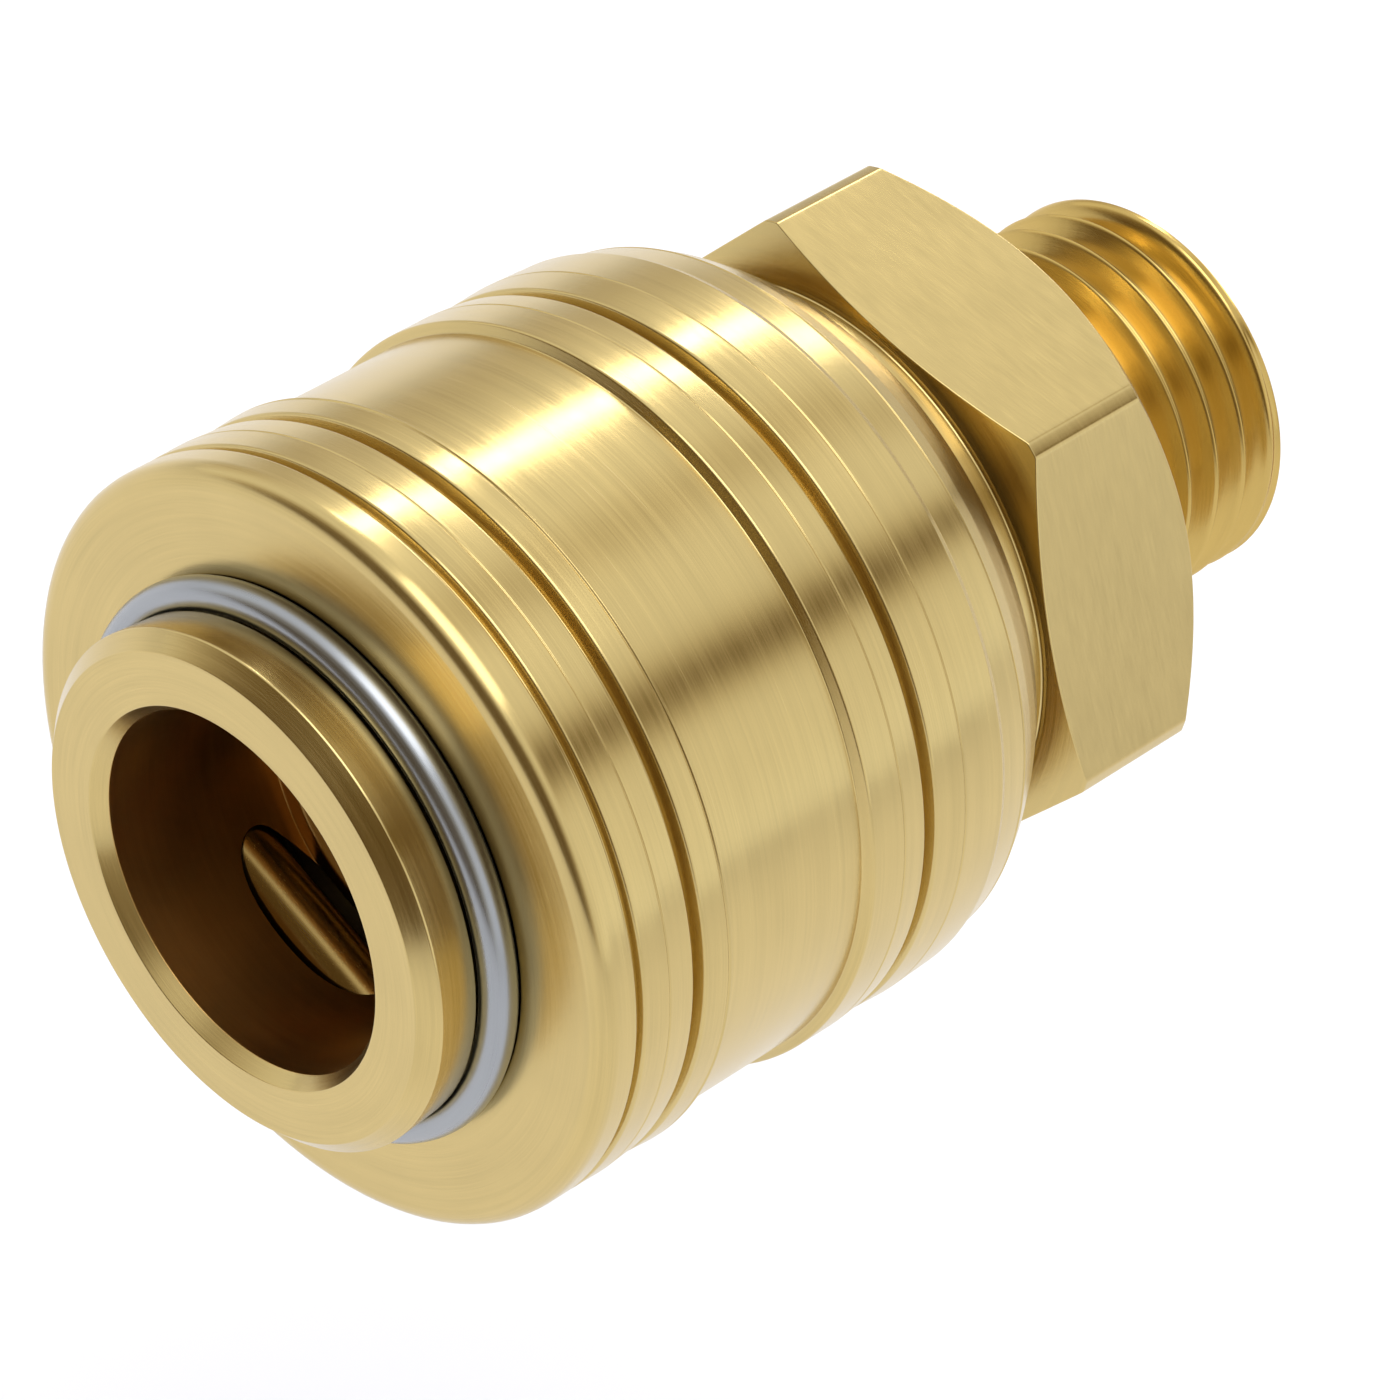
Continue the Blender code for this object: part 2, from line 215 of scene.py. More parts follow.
def cut(obj, cutters):
    """Takes the cutters' shapes away from the object's mesh, and removes them."""
    for cutter in cutters:
        modifier = obj.modifiers.new(cutter.name, "BOOLEAN")
        modifier.operation = "DIFFERENCE"
        modifier.solver = "EXACT"
        modifier.object = cutter
    graph = bpy.context.evaluated_depsgraph_get()
    mesh = bpy.data.meshes.new_from_object(obj.evaluated_get(graph))
    obj.modifiers.clear()
    obj.data = mesh
    mesh.shade_smooth()
    mesh.set_sharp_from_angle(angle=math.radians(28))
    for cutter in cutters:
        bpy.data.objects.remove(cutter, do_unlink=True)


def place(obj, body, node):
    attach(obj, body)
    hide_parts(node)


# ---------------------------------------------------------------- shader nodes


def node_maths(tree):
    """A function that adds a Math node to the tree and returns its result."""

    def maths(operation, *values):
        node = tree.nodes.new("ShaderNodeMath")
        node.operation = operation
        connect(tree, node.inputs, values)
        return node.outputs[0]

    return maths


def connect(tree, sockets, values):
    for socket, value in zip(sockets, values):
        if isinstance(value, bpy.types.NodeSocket):
            tree.links.new(value, socket)
        else:
            socket.default_value = value


def remap(tree, value, low, high, to_low, to_high, kind="LINEAR"):
    node = tree.nodes.new("ShaderNodeMapRange")
    node.interpolation_type = kind
    connect(tree, node.inputs, (value, low, high, to_low, to_high))
    return node.outputs[0]


def noise(tree, vector, w, detail, rough=0.5, scale=1.0):
    node = tree.nodes.new("ShaderNodeTexNoise")
    node.noise_dimensions = "4D"
    connect(tree, [node.inputs[n] for n in ("Vector", "W", "Scale", "Detail", "Roughness")],
            (vector, w, scale, detail, rough))
    return node.outputs["Fac"]


def combine(tree, *parts):
    node = tree.nodes.new("ShaderNodeCombineXYZ")
    connect(tree, node.inputs, parts)
    return node.outputs[0]


def position(tree):
    """The place on the piece, and its x, y and z."""
    place_on_piece = tree.nodes.new("ShaderNodeTexCoord").outputs["Object"]
    split = tree.nodes.new("ShaderNodeSeparateXYZ")
    tree.links.new(place_on_piece, split.inputs[0])
    return place_on_piece, split.outputs


def average(tree, values, weights):
    """The sum of the values, each times its weight."""
    maths = node_maths(tree)
    total = 0.0
    for value, weight in zip(values, weights):
        total = maths("ADD", maths("MULTIPLY", value, weight), total)
    return total


def shaded(tree, shader, colour, factor):
    """Base colour times a factor."""
    mix = tree.nodes.new("ShaderNodeMix")
    mix.data_type = "RGBA"
    mix.blend_type = "MULTIPLY"
    mix.inputs["Factor"].default_value = 1.0
    mix.inputs["A"].default_value = (*colour, 1.0)
    grey = tree.nodes.new("ShaderNodeCombineColor")
    connect(tree, grey.inputs, (factor, factor, factor))
    tree.links.new(grey.outputs[0], mix.inputs["B"])
    tree.links.new(mix.outputs["Result"], shader.inputs["Base Color"])


def add_bump(tree, shader, height, depth):
    bump = tree.nodes.new("ShaderNodeBump")
    bump.inputs["Strength"].default_value = 1.0
    bump.inputs["Distance"].default_value = depth * MM
    tree.links.new(height, bump.inputs["Height"])
    tree.links.new(bump.outputs["Normal"], shader.inputs["Normal"])


def lathe_marks(tree, x, y, z, across):
    """Fine and broad marks that run round the axis. across is the number of marks in a metre."""
    maths = node_maths(tree)
    r = maths("SQRT", maths("ADD", maths("MULTIPLY", y, y), maths("MULTIPLY", z, z)))
    cos, sin = maths("DIVIDE", y, r), maths("DIVIDE", z, r)
    found = []
    for marks, change_round, detail, rough in ((across, 2.2, 2.0, 0.6), (across / 6, 1.2, 1.0, 0.5)):
        along, out = maths("MULTIPLY", x, marks), maths("MULTIPLY", r, marks)
        around = (maths("MULTIPLY", value, change_round) for value in (cos, sin))
        found.append(noise(tree, combine(tree, along, *around), out, detail, rough))
    return found


def straight_marks(tree, x, y, z, across):
    """Fine and broad marks that run square to the axis, the fine ones slightly slanted."""
    maths = node_maths(tree)
    y_long, z_long = (maths("MULTIPLY", value, across / 22) for value in (y, z))
    slant = maths("MULTIPLY", maths("ADD", y, z), across * 0.08)
    fine = combine(tree, maths("ADD", maths("MULTIPLY", x, across), slant), y_long, z_long)
    broad = combine(tree, maths("MULTIPLY", x, across / 5), y_long, z_long)
    return noise(tree, fine, 0.0, 3.0, 0.65), noise(tree, broad, 3.0, 2.0)


def brush(tree, shader, anisotropy):
    """Highlights that stretch across the lathe marks."""
    shader.inputs["Anisotropic"].default_value = anisotropy
    shader.inputs["Anisotropic Rotation"].default_value = 0.25
    tangent = tree.nodes.new("ShaderNodeTangent")
    tangent.direction_type = "RADIAL"
    tangent.axis = "X"
    tree.links.new(tangent.outputs[0], shader.inputs["Tangent"])


def metal(name, colour, roughness, spread, line_width, line_depth, marks, anisotropy=0.0, contrast=0.1):
    """Metal whose tone and roughness vary with its tool marks, which marks makes, and in soft patches."""
    made = bpy.data.materials.new(name)
    made.use_nodes = True
    tree = made.node_tree
    shader = tree.nodes["Principled BSDF"]
    shader.inputs["Metallic"].default_value = 1.0
    where, (x, y, z) = position(tree)
    fine, broad = marks(tree, x, y, z, 1.0 / (line_width * MM))
    patches = noise(tree, where, 0.0, 2.0, 0.5, 1.0 / (PATCH_SIZE * MM))
    mixed = average(tree, (patches, broad, fine), (0.2, 0.3, 0.5))
    shaded(tree, shader, colour, remap(tree, mixed, *NOISE_SPAN, 1.0 - contrast, 1.0 + contrast * 0.6))
    rough = remap(tree, mixed, *NOISE_SPAN, roughness - spread, roughness + spread)
    tree.links.new(rough, shader.inputs["Roughness"])
    add_bump(tree, shader, fine, line_depth)
    if anisotropy:
        brush(tree, shader, anisotropy)
    return made


def rubber():
    """Black rubber with a fine moulded grain."""
    made = bpy.data.materials.new("nitrile_rubber")
    made.use_nodes = True
    tree = made.node_tree
    shader = tree.nodes["Principled BSDF"]
    grain = noise(tree, position(tree)[0], 0.0, 4.0, 0.6, 1.0 / (GRAIN_SIZE * MM))
    shaded(tree, shader, RUBBER_BLACK, remap(tree, grain, *NOISE_SPAN, 0.7, 1.3))
    tree.links.new(remap(tree, grain, *NOISE_SPAN, 0.42, 0.62), shader.inputs["Roughness"])
    add_bump(tree, shader, grain, 0.006)
    return made


PATCH_SIZE = 2.6  # soft patches on metal
GRAIN_SIZE = 0.12  # grain of the rubber
NOISE_SPAN = (0.3, 0.7)  # where most values of a noise lie
BRASS = (0.62, 0.475, 0.198)
FLAT_TONE = (0.59, 0.45, 0.188)
# The thread's brass is more amber than BRASS: painted shade, for the light bounced between the thread's
# flanks.
THREAD_SHADE_TONE = (0.60, 0.42, 0.13)
# The bore's brass is darker and more amber than BRASS: painted shade inside the bore, the slots and the
# passage.
BORE_SHADE_TONE = (0.52, 0.31, 0.10)
# The rollers' brass is darkened: painted shade, so that only a thin highlight shows in the slots.
ROLLER_SHADE_TONE = (0.42, 0.29, 0.10)
BRASS_INNER = (0.60, 0.45, 0.19)
STEEL = (0.37, 0.385, 0.40)
WIRE_STEEL = (0.46, 0.46, 0.48)
RUBBER_BLACK = (0.03, 0.03, 0.032)

# Name, colour, roughness, its spread, width and depth of the tool marks, and which marks they are.
TURNED_BRASS = metal("turned_brass", BRASS, 0.23, 0.06, 0.035, 0.0011, lathe_marks, 0.55, 0.14)
FLAT_BRASS = metal("milled_brass", FLAT_TONE, 0.20, 0.04, 0.06, 0.0007, straight_marks)
# Brass for the thread, more amber as painted shade between the flanks.
SHADED_THREAD_METAL = metal("thread_shade_brass", THREAD_SHADE_TONE, 0.22, 0.05, 0.05, 0.001, lathe_marks)
# Brass for the bore, the slots and the passage, darker as painted shade.
SHADED_BORE_METAL = metal("bore_shade_brass", BORE_SHADE_TONE, 0.33, 0.06, 0.05, 0.0015, lathe_marks)
INNER_BRASS = metal("inner_brass", BRASS_INNER, 0.3, 0.07, 0.05, 0.0015, lathe_marks)
# Brass for the rollers, darkened as painted shade.
SHADED_ROLLER_METAL = metal("roller_shade_brass", ROLLER_SHADE_TONE, 0.25, 0.05, 0.05, 0.001, lathe_marks)
POLISHED_STEEL = metal("polished_steel", STEEL, 0.30, 0.05, 0.05, 0.0008, lathe_marks, 0.0, 0.06)
SPRING_WIRE = metal("spring_wire", WIRE_STEEL, 0.27, 0.05, 0.06, 0.0012, lathe_marks, 0.0, 0.12)
RUBBER = rubber()


# ---------------------------------------------------------------- the pieces


def groove(station, width, depth, radius):
    """Corners of a turned groove with a narrow floor and broken edges."""
    return [
        (station - width / 2, radius, 0.12),
        (station - width / 5, radius - depth, 0.04),
        (station + width / 5, radius - depth, 0.04),
        (station + width / 2, radius, 0.12),
    ]


def hairline(station, radius, width=0.09, depth=0.028):
    """A tool mark where two turned bands meet."""
    return [
        (station - width / 2, radius, 0.03),
        (station, radius - depth, 0.02),
        (station + width / 2, radius, 0.03),
    ]


def make_sleeve():
    """The grip: rounded nose, grooved bands either side of a stepped waist, and a tapered tail."""
    full, low, waist = SLEEVE_R, SLEEVE_R - 0.07, SLEEVE_R - 0.34
    wide_groove, narrow_groove = (0.50, 0.50), (0.32, 0.30)  # width and depth
    inner_r, front_r = 10.2, 9.0
    corners = [(3.45, front_r, 0.08), (SLEEVE_FRONT, front_r + 0.25, 0.06), (SLEEVE_FRONT, full - 0.02, 0.93)]
    corners += groove(4.74, *narrow_groove, full - 0.02)
    corners += hairline(5.92, full)
    corners += groove(7.20, *wide_groove, low)
    corners += hairline(8.38, full, 0.12, 0.05)
    corners += [(8.50, full, 0.03), (8.60, waist, 0.10), (14.38, waist, 0.06), (14.56, full, 0.12)]
    corners += hairline(15.90, full)
    corners += groove(17.10, *wide_groove, low)
    corners += hairline(18.58, full)
    corners += [(20.30, low, 0.15), (20.52, full - 0.20, 0.15)]
    corners += hairline(21.66, 12.33, 0.08, 0.03)
    corners += [(22.30, 12.00, 1.2), (23.10, 11.45, 0.8), (SLEEVE_END, 10.93, 0.10), (23.38, inner_r, 0.06)]
    corners += [(4.30, inner_r, 0.1), (4.30, front_r, 0.08)]
    sleeve = finished_object("grip_sleeve", turned(rounded(corners)), TURNED_BRASS)
    place(sleeve, "grip", "sleeve")


SLOT_STATION = 5.5
SLOT_FLOOR_R = 6.15  # where the round end of a slot has its centre
SLOT_HALF_WIDTH = 1.15
SLOT_HALF_LENGTH = 4.1
SLOT_REACH = 5.0
SLOT_ARC_STEPS = 24


def slot_cutter(turn):
    """A slanted slot with a round inner end for one locking pin."""
    slant = math.atan2(PIN_RISE, PULL)
    outline = []
    for i in range(SLOT_ARC_STEPS + 1):
        angle = slant + math.pi / 2 + math.pi * i / SLOT_ARC_STEPS
        station = SLOT_STATION + SLOT_HALF_WIDTH * math.cos(angle)
        outline.append((station, SLOT_FLOOR_R + SLOT_HALF_WIDTH * math.sin(angle)))
    for s, r in (outline[-1], outline[0]):
        outline.append((s + SLOT_REACH * math.cos(slant), r + SLOT_REACH * math.sin(slant)))
    side = onward(turn) * SLOT_HALF_LENGTH * MM
    bm = bmesh.new()
    face = bm.faces.new([bm.verts.new(point(s, r, turn) - side) for s, r in outline])
    grown = bmesh.ops.extrude_face_region(bm, geom=[face])["geom"]
    bmesh.ops.translate(bm, verts=[g for g in grown if isinstance(g, bmesh.types.BMVert)], vec=side * 2)
    return finished_object("slot", bm, SHADED_BORE_METAL)


def make_barrel():
    """The inner body, whose collar shows in front of the sleeve."""
    corners = [
        (0.50, 6.05, 0.06),
        (0.00, 6.40, 0.06),
        (0.00, 8.15, 0.07),
        (0.55, 8.70, 0.10),
        (2.05, 8.58, 0.06),
        (2.05, 7.95, 0.10),
        (3.45, 7.95, 0.10),
        (3.45, 8.70, 0.05),
        (4.20, 8.70, 0.05),
        (4.20, 7.30, 0.10),
        (BARREL_END - 0.4, 7.30, 0.05),
        (BARREL_END, 6.90, 0.05),
        (BARREL_END, 6.10, 0.05),
        (12.90, 6.10, 0.10),
        (11.80, 5.05, 0.10),
        (10.60, 5.05, 0.05),
        (10.60, 6.30, 0.05),
        (8.40, 6.30, 0.05),
        (8.40, 5.05, 0.05),
        (7.35, 5.05, 0.20),
        (7.00, 5.40, 0.20),
        (7.00, 6.05, 0.05),
    ]
    barrel = finished_object("inner_barrel", turned(rounded(corners)), TURNED_BRASS, SHADED_BORE_METAL)
    bore_start, bore_r = MOUTH + 0.3 * MM, 6.2 * MM
    for face in barrel.data.polygons:
        centre = face.center
        if centre.x > bore_start and math.hypot(centre.y, centre.z) < bore_r:
            face.material_index = 1  # bore brass, darker as painted shade inside the bore
    cut(barrel, [slot_cutter(math.radians(a)) for a in PIN_ANGLES])
    place(barrel, "root", "barrel")


THREAD_PITCH = 1.337
THREAD_R = 6.579
THREAD_DEPTH = 0.856
THREAD_START = SHOULDER + 0.9
THREAD_STOP = THREAD_END - 0.7
THREAD_LEAD_IN, THREAD_RUN_OUT = 0.9, 0.45  # pitches over which the thread grows and fades
THREAD_EDGE_R = THREAD_R - 0.96  # at the end of the chamfer
ROOT_R = THREAD_R - THREAD_DEPTH
ROWS_PER_PITCH = 26
PASSAGE_R = 4.0
JOINT_R = 7.6  # inside the spigot that the barrel screws into
SPIGOT_R = 9.9
HEX_FRONT = 25.1
PASSAGE_SEAM = HEX_FRONT + 3.0  # where the outline of the adapter starts and ends
HEX_TURNED_R = 11.75
HEX_FACE_R = 10.1
FRONT_SLOPE = math.tan(math.radians(22))  # rise of a chamfer per unit of radius
REAR_SLOPE = math.tan(math.radians(41))
FLATS = 6


def hex_radius(turn):
    """Radius of the hexagon at a turn, with its corners turned off and the new edges eased."""
    sector = math.tau / FLATS
    off = (turn + sector / 2) % sector - sector / 2
    flat = FLAT_R / math.cos(off)
    ease = 0.02
    return 0.5 * (flat + HEX_TURNED_R - math.hypot(flat - HEX_TURNED_R, ease))


def hex_turns():
    """Column angles: even over the flats, and close together at the eased edges."""
    sector = 360 / FLATS
    edge = math.degrees(math.acos(FLAT_R / HEX_TURNED_R))
    wide, narrow = 1.4, 0.2
    half = [wide * i for i in range(19)]
    half += [edge - 1.0 + narrow * i for i in range(11)]
    half += [edge + wide, sector / 2]
    full = sorted({-a for a in half[:-1]} | set(half))
    return [math.radians(sector * n + a) % math.tau for n in range(FLATS) for a in full]


def thread_depth(phase):
    """Depth under the crest at a phase from 0 to 1: straight flanks with a narrow crest and a round root."""
    crest, flank = 0.06, 0.78  # parts of half a pitch
    crest_ease, root_ease = 0.05, math.sqrt(0.02)
    slope = (abs(phase - 0.5) * 2 - crest) / flank
    eased = 0.5 * (slope + math.hypot(slope, crest_ease))
    return THREAD_DEPTH * 0.5 * (eased + 1.0 - math.hypot(eased - 1.0, root_ease))


def thread_columns(turns):
    """Rows that follow the helix, pressed flat against both ends of the thread."""
    length = (THREAD_STOP - THREAD_START) / THREAD_PITCH
    rows = math.ceil((length + 1) * ROWS_PER_PITCH)
    columns = []
    for turn in turns:
        column = []
        for k in range(rows + 1):
            along = min(max(k / ROWS_PER_PITCH - turn / math.tau, 0.0), length)
            phase = (along + turn / math.tau) % 1.0
            fade = min(along / THREAD_LEAD_IN, (length - along) / THREAD_RUN_OUT, 1.0)
            radius = THREAD_R - thread_depth(phase) * fade
            column.append(point(THREAD_START + along * THREAD_PITCH, radius, turn))
        columns.append(column)
    return columns


def stitch_helix(bm, columns):
    """Joins the helical columns. The last column meets the first one a pitch further on."""
    made = [[bm.verts.new(co) for co in column] for column in columns]
    for a, b in zip(made, made[1:]):
        for k in range(len(a) - 1):
            bm.faces.new((a[k], b[k], b[k + 1], a[k + 1]))
    first, last = made[0], made[-1]
    for k in range(len(last) - 1):
        low, high = max(k - ROWS_PER_PITCH, 0), max(k + 1 - ROWS_PER_PITCH, 0)
        if low != high:
            bm.faces.new((last[k], first[low], first[high], last[k + 1]))


def adapter_corners(turn):
    """The adapter's outline at a turn: passage, spigot, hexagon, and up to where the thread starts."""
    out = hex_radius(turn)
    relief_r = ROOT_R - 0.05
    return [
        (PASSAGE_SEAM, PASSAGE_R, 0.0),
        (22.0, PASSAGE_R, 0.10),
        (22.0, JOINT_R, 0.10),
        (SPIGOT_FRONT, JOINT_R, 0.06),
        (SPIGOT_FRONT, SPIGOT_R - 0.3, 0.05),
        (SPIGOT_FRONT + 0.3, SPIGOT_R, 0.05),
        (HEX_FRONT, SPIGOT_R, 0.08),
        (HEX_FRONT, HEX_FACE_R, 0.06),
        (HEX_FRONT + (out - HEX_FACE_R) * FRONT_SLOPE, out, 0.06),
        (SHOULDER - (out - HEX_FACE_R) * REAR_SLOPE, out, 0.06),
        (SHOULDER, HEX_FACE_R, 0.06),
        (SHOULDER, THREAD_R + 0.15, 0.05),
        (SHOULDER + 0.2, relief_r, 0.10),
        (THREAD_START - 0.35, relief_r, 0.10),
        (THREAD_START, THREAD_R, 0.0),
    ]


def paint_adapter(adapter):
    """Gives the flats, the thread and the passage their own brass; the thread's and the passage's brass are
    darker and more amber, as painted shade.
    """
    flats, thread, passage = 1, 2, 3
    hex_low, hex_high = MOUTH + HEX_FRONT * MM, MOUTH + SHOULDER * MM
    passage_edge_r = PASSAGE_R + 0.6
    for face in adapter.data.polygons:
        centre = face.center
        r = math.hypot(centre.y, centre.z) / MM
        if hex_low < centre.x < hex_high and abs(face.normal.x) < 0.25 and r > HEX_FACE_R:
            face.material_index = flats
        elif centre.x > hex_high and r > passage_edge_r:
            face.material_index = thread
        elif r < passage_edge_r:
            face.material_index = passage


def make_adapter():
    """The rear body: spigot, wrench hexagon and thread round a straight air passage."""
    turns = sorted(hex_turns())
    bm = bmesh.new()
    outlines = [(turn, rounded(adapter_corners(turn), closed=False)) for turn in turns]
    stitch(bm, [[point(s, r, turn) for s, r in outline] for turn, outline in outlines], closed=False)
    stitch_helix(bm, thread_columns(turns))
    end_corners = [
        (THREAD_STOP, THREAD_R, 0.0),
        (THREAD_END, THREAD_EDGE_R, 0.08),
        (THREAD_END, PASSAGE_R + 0.4, 0.08),
        (THREAD_END - 0.4, PASSAGE_R, 0.05),
        (PASSAGE_SEAM, PASSAGE_R, 0.0),
    ]
    outline = rounded(end_corners, closed=False)
    stitch(bm, [[point(s, r, turn) for s, r in outline] for turn in turns], closed=False)
    adapter = finished_object("hex_adapter", bm, TURNED_BRASS, FLAT_BRASS, SHADED_THREAD_METAL, SHADED_BORE_METAL)
    paint_adapter(adapter)
    place(adapter, "root", "adapter")


def make_retaining_ring():
    """Spring wire ring in front of the sleeve, open at the bottom."""
    station, radius, wire_r = 2.7, 8.82, 0.6
    half_gap = math.radians(7)
    steps = 220
    turns = [math.pi + half_gap + (math.tau - 2 * half_gap) * i / steps for i in range(steps + 1)]
    centres = [point(station, radius, turn) for turn in turns]
    frames = [(radial(turn), PLUG_AXIS) for turn in turns]
    ring = finished_object("wire_ring", wire(centres, frames, wire_r, 28), POLISHED_STEEL)
    place(ring, "root", "retaining_ring")


def make_locking_pins():
    """Three rollers with chamfered ends, each across its slot in the barrel, in a dark brass that paints the
    shade inside the slots.
    """
    half, radius, chamfer, fillet = 3.8, 1.0, 0.15, 0.08
    corners = [
        (-half, 0.0, 0.0),
        (-half, radius - chamfer, fillet),
        (chamfer - half, radius, fillet),
        (half - chamfer, radius, fillet),
        (half, radius - chamfer, fillet),
        (half, 0.0, 0.0),
    ]
    outline = rounded(corners, closed=False)
    angles = [math.tau * i / 48 for i in range(48)]
    for number, degrees in enumerate(PIN_ANGLES, 1):
        node = f"locking_pin_{number}"
        low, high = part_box(node)
        turn = math.radians(degrees)
        columns = []
        for angle in angles:
            out = radial(turn) * math.cos(angle) + PLUG_AXIS * math.sin(angle)
            columns.append([(low + high) / 2 + (onward(turn) * s + out * r) * MM for s, r in outline])
        bm = bmesh.new()
        stitch(bm, columns, closed=False)
        place(finished_object(f"roller_{number}", bm, SHADED_ROLLER_METAL), f"pin_{number}", node)


def make_thrust_ring():
    """The ring that keeps the rollers forward."""
    corners = [(6.7, 7.6, 0.08), (6.7, 9.6, 0.05), (7.0, 9.9, 0.05), (8.7, 9.9, 0.1), (8.7, 7.6, 0.08)]
    ring = finished_object("pin_thrust_ring", turned(rounded(corners)), POLISHED_STEEL)
    place(ring, "slider", "thrust_ring")


SPRING_TURNS = 4.5


def coil(start, end, radius, wire_r, turns, steps_per_turn=56, sides=18):
    """A compression spring with closed end turns."""
    dead = 0.75  # turns at each end that lie closed
    first, last = start + wire_r, end - wire_r
    lift = 2.2 * wire_r * dead  # a closed turn climbs a little more than the wire's thickness
    count = round(turns * steps_per_turn)
    centres, frames = [], []
    for i in range(count + 1):
        wound = turns * i / count
        if wound < dead:
            station = first + lift * wound / dead
        elif wound > turns - dead:
            station = last - lift * (turns - wound) / dead
        else:
            station = first + lift + (last - first - 2 * lift) * (wound - dead) / (turns - 2 * dead)
        turn = math.tau * wound
        centres.append(point(station, radius, turn))
        frames.append((radial(turn), PLUG_AXIS))
    return wire(centres, frames, wire_r, sides)


def make_spring(name, node, start, end, radius, wire_r):
    """A spring from one station to another, on the root body, with a mesh of its own."""
    spring = finished_object(name, coil(start, end, radius, wire_r, SPRING_TURNS), SPRING_WIRE)
    place(spring, "root", node)
    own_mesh(spring)


def ring_outline(station, radius, cord_r, sides=32):
    angles = [math.tau * k / sides for k in range(sides)]
    return [(station + cord_r * math.cos(a), radius + cord_r * math.sin(a)) for a in angles]


def make_seal(name, node, body, outline):
    seal = finished_object(name, turned(outline, SMALL_COLUMNS), RUBBER)
    place(seal, body, node)


def make_seals():
    """A lipped seal for the plug, and O-rings for the screwed joint and the valve."""
    lip = [
        (8.65, 6.0, 0.1),
        (10.35, 6.0, 0.1),
        (10.35, 5.0, 0.2),
        (10.10, 4.75, 0.2),
        (8.90, 4.75, 0.2),
        (8.65, 5.0, 0.2),
    ]
    make_seal("plug_seal_ring", "plug_seal", "root", rounded(lip))
    make_seal("joint_seal_ring", "joint_seal", "root", ring_outline(21.15, 6.8, 0.52))
    make_seal("valve_seal_ring", "valve_seal", "valve", ring_outline(13.1, 4.95, 0.62))


def make_poppet():
    """The shut-off valve, with four cross holes behind its hollow nose."""
    corners = [
        (13.40, 0.0, 0.0),
        (13.40, 2.70, 0.2),
        (8.90, 2.70, 0.08),
        (8.90, 3.70, 0.08),
        (9.20, 4.00, 0.08),
        (14.05, 4.00, 0.06),
        (14.05, 5.70, 0.06),
        (15.10, 5.70, 0.06),
        (15.35, 5.45, 0.06),
        (15.35, 3.90, 0.08),
        (17.20, 3.90, 0.06),
        (17.50, 3.60, 0.06),
        (17.50, 0.0, 0.0),
    ]
    bm = turned(rounded(corners, closed=False), SMALL_COLUMNS, closed=False)
    poppet = finished_object("poppet", bm, INNER_BRASS)
    hole_station, hole_r, drill = 11.6, 0.9 * MM, 12 * MM
    holes = []
    for angle in (45, 135):
        bm = bmesh.new()
        turning = Matrix.Translation(point(hole_station, 0.0)) @ Matrix.Rotation(math.radians(angle), 4, "X")
        bmesh.ops.create_cone(
            bm, cap_ends=True, segments=48, radius1=hole_r, radius2=hole_r, depth=drill, matrix=turning
        )
        holes.append(finished_object("hole", bm, INNER_BRASS))
    cut(poppet, holes)
    place(poppet, "valve", "valve_poppet")


# ---------------------------------------------------------------- studio

# Strips of the tent that run along the coupler: (turn in degrees, half width, change of brightness).
STRIPS = ((-9.0, 9.0, -0.30), (39.0, 8.0, -0.85), (92.0, 16.0, 0.14), (-84.0, 18.0, -0.36))
TENT = 1.05
DARK_LEVEL = 0.85  # how far the tent is dimmed low down in front of the mouth
WARMTH = (0.2, 0.6)  # how fast green and blue fall off with brightness
# Where the strips fade in along X, and where the dimming ends along X and Z, on a sphere of radius 1.
STRIP_FADE = (-0.2, 0.3)
FRONT_FADE = (-0.70, -0.25)
LOW_FADE = (0.66, 0.84)
FLOOR_COLOUR = (0.92, 0.93, 0.98)


def make_world():
    """A white tent with strips of stronger and weaker light, dimmed low down in front of the mouth."""
    world = bpy.data.worlds.new("studio")
    bpy.context.scene.world = world
    world.use_nodes = True
    tree = world.node_tree
    maths = node_maths(tree)
    coords = tree.nodes.new("ShaderNodeTexCoord")
    split = tree.nodes.new("ShaderNodeSeparateXYZ")
    tree.links.new(coords.outputs["Generated"], split.inputs[0])
    x, y, z = split.outputs
    turn = maths("ARCTAN2", maths("MULTIPLY", y, -1.0), z)
    rear = remap(tree, x, *STRIP_FADE, 0.0, 1.0, "SMOOTHSTEP")
    level = TENT
    for angle, width, change in STRIPS:
        off = maths("DIVIDE", maths("SUBTRACT", turn, math.radians(angle)), math.radians(width))
        bell = maths("POWER", math.e, maths("MULTIPLY", maths("MULTIPLY", off, off), -1.0))
        level = maths("ADD", level, maths("MULTIPLY", maths("MULTIPLY", bell, change), rear))
    front = remap(tree, x, *FRONT_FADE, DARK_LEVEL, 0.0, "SMOOTHSTEP")
    low = remap(tree, z, *LOW_FADE, 1.0, 0.0, "SMOOTHSTEP")
    level = maths("MULTIPLY", level, maths("SUBTRACT", 1.0, maths("MULTIPLY", front, low)))
    seen = tree.nodes.new("ShaderNodeLightPath").outputs["Is Camera Ray"]
    level = maths("MAXIMUM", level, maths("MULTIPLY", seen, TENT))  # the tent itself always looks white
    warm = tree.nodes.new("ShaderNodeCombineColor")
    connect(tree, warm.inputs, (1.0, maths("POWER", level, WARMTH[0]), maths("POWER", level, WARMTH[1])))
    background = tree.nodes["Background"]
    tree.links.new(warm.outputs[0], background.inputs["Color"])
    tree.links.new(level, background.inputs["Strength"])


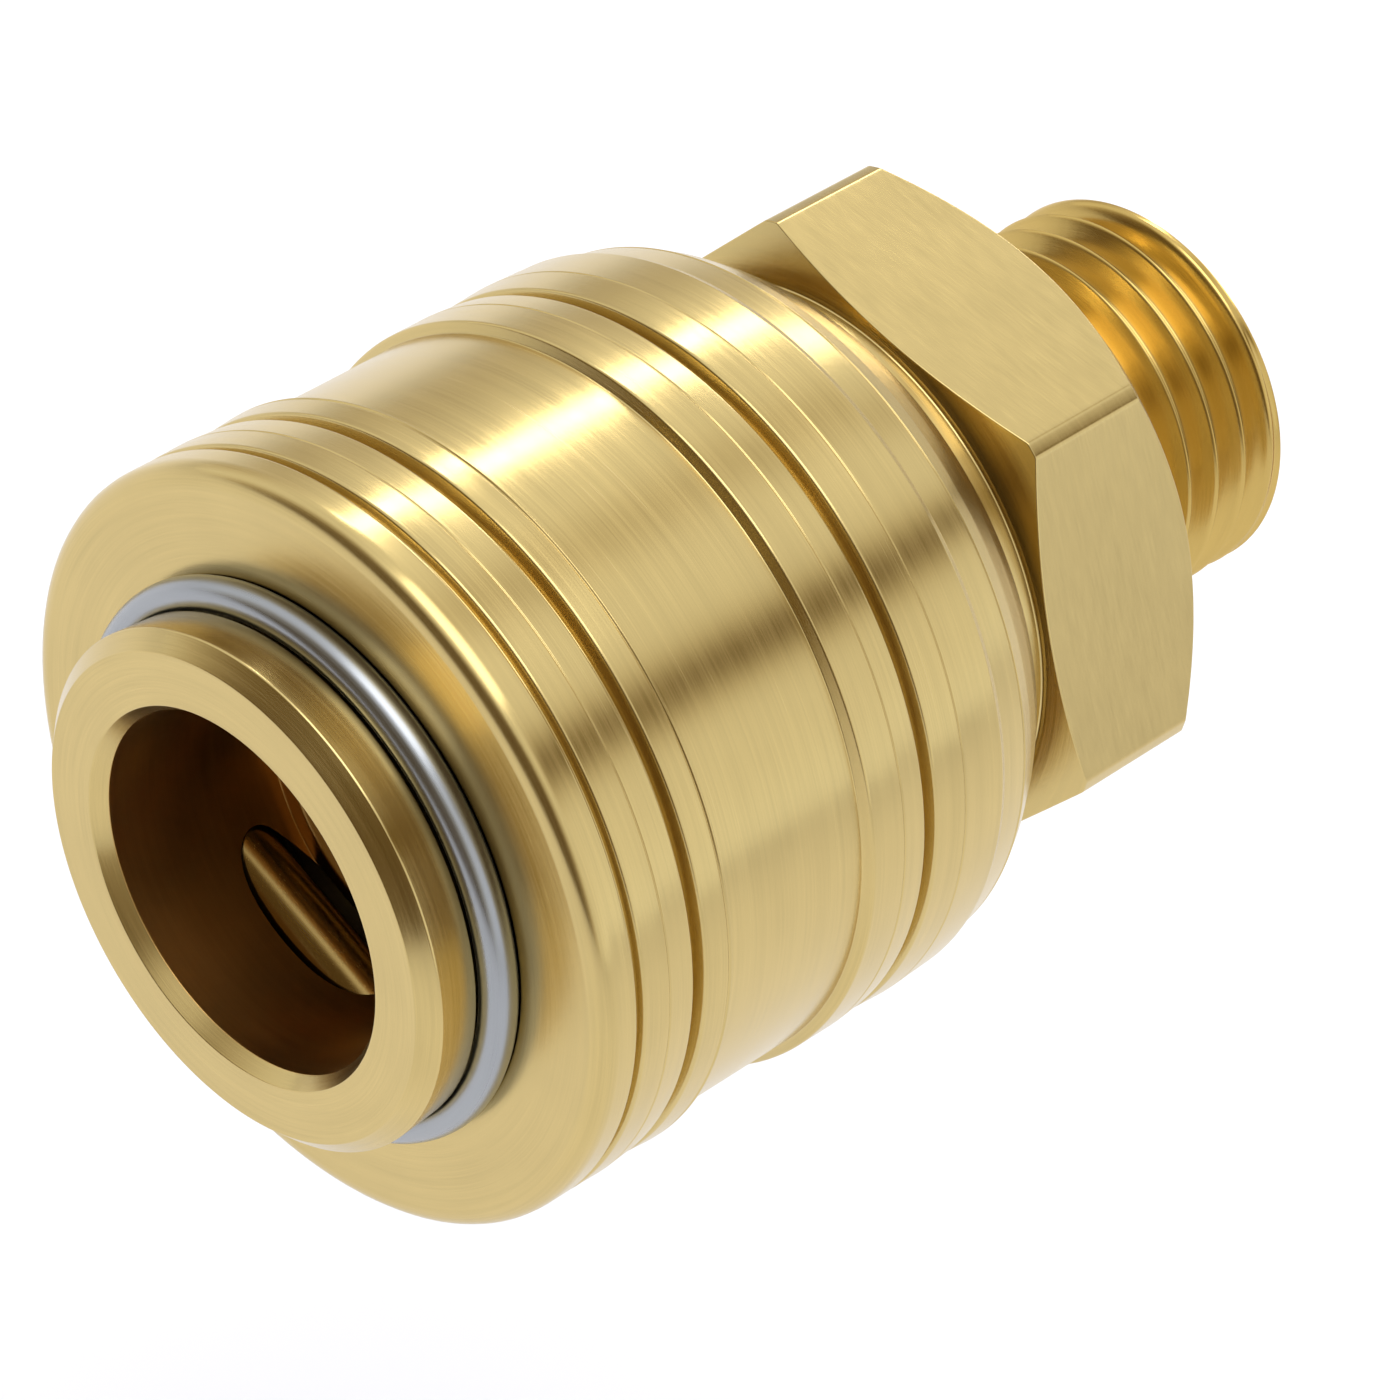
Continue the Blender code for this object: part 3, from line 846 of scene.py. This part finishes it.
def make_floor():
    bm = bmesh.new()
    half, height = FLOOR_HALF * MM, -FLOOR_DROP * MM
    ends = ((-half, -half), (half, -half), (half, half), (-half, half))
    bm.faces.new([bm.verts.new((x, y, height)) for x, y in ends])
    paint = bpy.data.materials.new("studio_floor")
    paint.use_nodes = True
    shader = paint.node_tree.nodes["Principled BSDF"]
    shader.inputs["Base Color"].default_value = (*FLOOR_COLOUR, 1.0)
    shader.inputs["Roughness"].default_value = 0.9
    shader.inputs["Specular IOR Level"].default_value = 0.0
    floor = finished_object("studio_floor", bm, paint)


def make_light(name, direction, distance, length, width, power):
    """A soft strip light that faces the coupler, with its long side along the coupler."""
    data = bpy.data.lights.new(name, "AREA")
    data.shape = "RECTANGLE"
    data.size, data.size_y = length, width
    data.energy = power
    light = bpy.data.objects.new(name, data)
    away = Vector(direction).normalized()
    side = (PLUG_AXIS - away * PLUG_AXIS.dot(away)).normalized()
    facing = Matrix((side, away.cross(side), away)).transposed().to_4x4()
    light.matrix_world = Matrix.Translation(away * distance) @ facing
    bpy.context.scene.collection.objects.link(light)


def make_camera():
    azimuth, drop = math.radians(CAMERA_AZIMUTH), math.radians(CAMERA_DROP)
    level = Vector((math.sin(azimuth), math.cos(azimuth), 0.0))
    forward = level * math.cos(drop) + Vector((0.0, 0.0, -math.sin(drop)))
    data = bpy.data.cameras.new("camera")
    data.lens = LENS
    data.sensor_width = SENSOR
    data.clip_start, data.clip_end = 0.01, 20.0
    camera = bpy.data.objects.new("camera", data)
    aim = Vector((MOUTH + AIM[0] * MM, AIM[1] * MM, AIM[2] * MM))
    camera.location = aim - forward * CAMERA_DISTANCE * MM
    camera.rotation_mode = "QUATERNION"
    roll = Quaternion((0, 0, 1), math.radians(CAMERA_ROLL))
    camera.rotation_quaternion = forward.to_track_quat("-Z", "Y") @ roll
    bpy.context.scene.collection.objects.link(camera)
    bpy.context.scene.camera = camera


make_sleeve()
make_barrel()
make_adapter()
make_retaining_ring()
make_locking_pins()
make_thrust_ring()
make_spring("sleeve_return_spring", "sleeve_spring", 8.95, 17.25, 8.72, 0.55)
make_spring("valve_return_spring", "valve_spring", 15.65, 21.75, 4.75, 0.40)
make_seals()
make_poppet()
make_world()
make_floor()
make_light("key_strip", (0.63, 0.559, 0.54), distance=0.6, length=0.5, width=0.06, power=0.7)
make_light("overhead", (-0.10, 0.0, 1.0), distance=0.7, length=0.5, width=0.5, power=1.7)
make_camera()
bpy.context.scene.view_settings.view_transform = "Standard"
